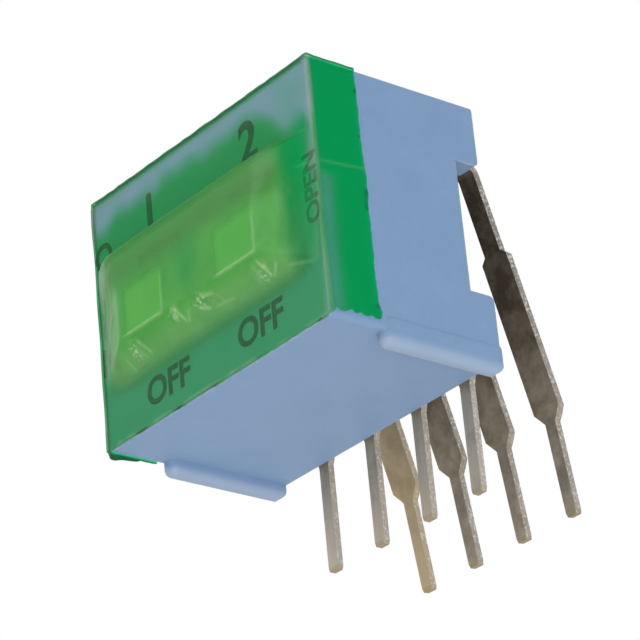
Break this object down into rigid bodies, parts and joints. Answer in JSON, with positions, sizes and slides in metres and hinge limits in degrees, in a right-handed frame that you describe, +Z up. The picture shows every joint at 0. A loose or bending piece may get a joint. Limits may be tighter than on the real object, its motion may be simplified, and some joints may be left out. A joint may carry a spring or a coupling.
{
  "type": "dip switch",
  "caption": "Right-angle slide dip switch: moulded housing with standoff ribs, raised white actuators under a folded tape seal, and two rows of formed solder leads.",
  "frame": {"origin": "on the board surface, in the middle of the two rows of leads", "axes": "+X along the row of poles towards the actuator marked 2, +Y from the actuator face back through the body, +Z up, away from the board"},
  "size_m": [0.0124, 0.0132, 0.0135],
  "materials": {
    "housing": "moulded light blue plastic with a fine satin grain",
    "tape": "thin see-through green adhesive film, creased at its folds",
    "base": "moulded blue plastic",
    "epoxy": "poured dark epoxy, smooth and slightly glossy",
    "actuator": "moulded white plastic",
    "wiper": "gold-plated spring leaf",
    "lead": "dull tin plate over stamped strip, scuffed and stained"
  },
  "bodies": {
    "switch_body": {"housing": "housing", "tape_seal": "tape", "terminal_base": "base", "epoxy_seal": "epoxy", "upper_terminal_1": "lead", "upper_terminal_2": "lead", "upper_terminal_3": "lead", "upper_terminal_4": "lead", "lower_terminal_1": "lead", "lower_terminal_2": "lead", "lower_terminal_3": "lead", "lower_terminal_4": "lead"},
    "slide_1": {"actuator_1": "actuator", "wiper_1a": "wiper", "wiper_1b": "wiper"},
    "slide_2": {"actuator_2": "actuator", "wiper_2a": "wiper", "wiper_2b": "wiper"}
  },
  "joints": [
    {"name": "actuator_1_slide", "type": "slide", "parent": "switch_body", "child": "slide_1", "axis": [0, 0, 1], "range_m": [0, 0.00152]},
    {"name": "actuator_2_slide", "type": "slide", "parent": "switch_body", "child": "slide_2", "axis": [0, 0, 1], "range_m": [0, 0.00152]}
  ]
}
